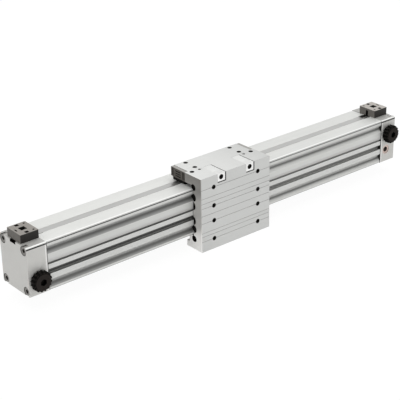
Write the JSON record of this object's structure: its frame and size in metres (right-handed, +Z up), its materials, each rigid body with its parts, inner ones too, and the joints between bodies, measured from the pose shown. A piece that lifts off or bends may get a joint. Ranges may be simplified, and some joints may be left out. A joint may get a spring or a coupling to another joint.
{
  "type": "rodless pneumatic cylinder",
  "caption": "Rodless pneumatic cylinder: slotted barrel closed by steel bands, end caps with ports, and a carriage that the piston drives over the front and top.",
  "frame": {"origin": "centre of the four mounting threads at the underside of the end caps, half way along the cylinder, on the bore's plane", "axes": "+X along the stroke, from the end with the lower front port to the end with the upper one; -Y towards the carriage's side plate; +Z up"},
  "size_m": [0.5, 0.0608, 0.0821],
  "materials": {
    "anodised_aluminium": "satin, drawn along the barrel",
    "carriage_aluminium": "fine matt, bright cut edges",
    "cap_aluminium": "fine blasted casting, machined faces",
    "band_steel": "thin rolled strip, brushed lengthwise",
    "screw_steel": "zinc plated",
    "dark_steel": "black oxide",
    "tube_steel": "ground and hard chromed",
    "yoke_aluminium": "machined",
    "black_plastic": "moulded, fine grain",
    "cover_plastic": "moulded, fine grain",
    "slide_plastic": "machined low-friction plastic",
    "magnet": "plastic-bonded ferrite",
    "seal_rubber": "smooth",
    "brass": "turned"
  },
  "bodies": {
    "base": {"barrel": "anodised_aluminium", "inner_band": "band_steel", "outer_band": "band_steel", "left_end_cap": "cap_aluminium", "left_cap_screws": "screw_steel", "left_register_seal": "seal_rubber", "left_cushion_tube": "tube_steel", "left_band_cover": "cover_plastic", "left_cover_screws": "screw_steel", "left_band_clamp": "tube_steel", "left_clamp_screw": "dark_steel", "left_blank_plug": "screw_steel", "right_end_cap": "cap_aluminium", "right_cap_screws": "screw_steel", "right_register_seal": "seal_rubber", "right_cushion_tube": "tube_steel", "right_band_cover": "cover_plastic", "right_cover_screws": "screw_steel", "right_band_clamp": "tube_steel", "right_clamp_screw": "dark_steel", "right_blank_plug": "screw_steel"},
    "carriage": {"carriage": "carriage_aluminium", "left_driver_dog": "carriage_aluminium", "right_driver_dog": "carriage_aluminium", "dog_screws": "dark_steel", "lock_screws": "carriage_aluminium", "upper_guide_bar": "slide_plastic", "lower_guide_bar": "slide_plastic", "piston_yoke": "yoke_aluminium", "left_piston": "yoke_aluminium", "left_piston_seal": "seal_rubber", "left_wear_ring": "slide_plastic", "left_magnet": "magnet", "left_cushion_seal": "seal_rubber", "left_piston_bolt": "screw_steel", "left_end_piece": "black_plastic", "left_wiper_lip": "seal_rubber", "right_piston": "yoke_aluminium", "right_piston_seal": "seal_rubber", "right_wear_ring": "slide_plastic", "right_magnet": "magnet", "right_cushion_seal": "seal_rubber", "right_piston_bolt": "screw_steel", "right_end_piece": "black_plastic", "right_wiper_lip": "seal_rubber"},
    "left_washer": {"left_plug_washer": "seal_rubber"},
    "left_plug": {"left_port_plug": "black_plastic"},
    "left_needle": {"left_cushion_screw": "brass"},
    "right_washer": {"right_plug_washer": "seal_rubber"},
    "right_plug": {"right_port_plug": "black_plastic"},
    "right_needle": {"right_cushion_screw": "brass"}
  },
  "joints": [
    {"name": "carriage_slide", "type": "slide", "parent": "base", "child": "carriage", "axis": [1, 0, 0], "range_m": [-0.12, 0.13], "deforming": ["outer_band", "inner_band"]},
    {"name": "left_plug_travel", "type": "slide", "parent": "base", "child": "left_washer", "axis": [0, -1, 0], "range_m": [0, 0.00668]},
    {"name": "left_plug_turn", "type": "hinge", "parent": "left_washer", "child": "left_plug", "pos_m": [-0.239, -0.0235, 0.016], "axis": [0, -1, 0], "range_deg": [0, 1800]},
    {"name": "left_cushion_turn", "type": "hinge", "parent": "base", "child": "left_needle", "pos_m": [-0.237, 0.0235, 0.0145], "axis": [0, 1, 0], "range_deg": [0, 720]},
    {"name": "right_plug_travel", "type": "slide", "parent": "base", "child": "right_washer", "axis": [0, -1, 0], "range_m": [0, 0.00668]},
    {"name": "right_plug_turn", "type": "hinge", "parent": "right_washer", "child": "right_plug", "pos_m": [0.239, -0.0235, 0.0345], "axis": [0, -1, 0], "range_deg": [0, 1800]},
    {"name": "right_cushion_turn", "type": "hinge", "parent": "base", "child": "right_needle", "pos_m": [0.237, -0.0235, 0.0145], "axis": [0, -1, 0], "range_deg": [0, 720]}
  ],
  "couplings": [
    {"joint": "left_plug_turn", "follows": "left_plug_travel", "rad_per_m": 4699.5},
    {"joint": "right_plug_turn", "follows": "right_plug_travel", "rad_per_m": 4699.5}
  ]
}
